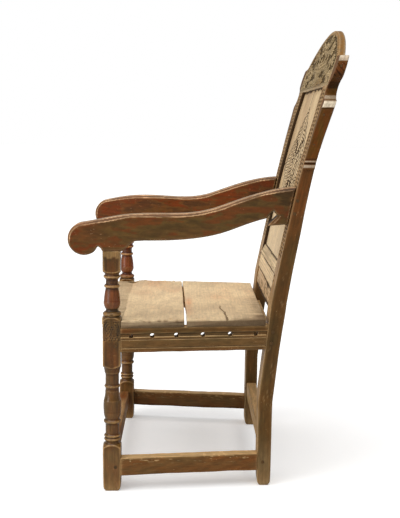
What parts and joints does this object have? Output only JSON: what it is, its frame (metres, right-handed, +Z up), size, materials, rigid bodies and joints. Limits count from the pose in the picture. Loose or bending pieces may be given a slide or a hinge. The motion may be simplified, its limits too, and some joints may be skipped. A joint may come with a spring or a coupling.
{
  "type": "wainscot armchair",
  "caption": "Joined oak armchair with a boarded seat, turned front legs, shaped open arms and a raked carved panel back under an arched crest.",
  "frame": {"origin": "on the floor, under the middle of the chair's bounding box", "axes": "+Z up, -Y towards the front of the chair, +X towards the sitter's left hand"},
  "size_m": [0.6302, 0.669, 1.128],
  "materials": {
    "oak_frame": "aged dark oak with a worn polish",
    "oak_arm": "reddish oak polished by hands",
    "oak_seat": "dry pale oak boards, worn and matt",
    "oak_carved": "carved oak, pale on the high points, dark in the cuts",
    "oak_peg": "dark riven oak pegs and pins"
  },
  "bodies": {
    "root": {"arm_left": "oak_arm", "arm_pegs": "oak_peg", "arm_right": "oak_arm", "back_lower_board": "oak_carved", "back_middle_rail": "oak_carved", "back_panel": "oak_carved", "back_pegs": "oak_peg", "crest_rail": "oak_carved", "ear_left": "oak_carved", "ear_pins": "oak_peg", "ear_right": "oak_carved", "front_leg_left": "oak_frame", "front_leg_right": "oak_frame", "front_seat_rail": "oak_frame", "front_stretcher": "oak_frame", "rear_seat_rail": "oak_frame", "rear_stile_left": "oak_frame", "rear_stile_right": "oak_frame", "rear_stretcher": "oak_frame", "seat_board_front": "oak_seat", "seat_board_pins": "oak_peg", "seat_board_rear": "oak_seat", "seat_rail_pegs": "oak_peg", "side_seat_rail_left": "oak_frame", "side_seat_rail_right": "oak_frame", "side_stretcher_left": "oak_frame", "side_stretcher_right": "oak_frame", "stretcher_pegs": "oak_peg"}
  },
  "joints": []
}
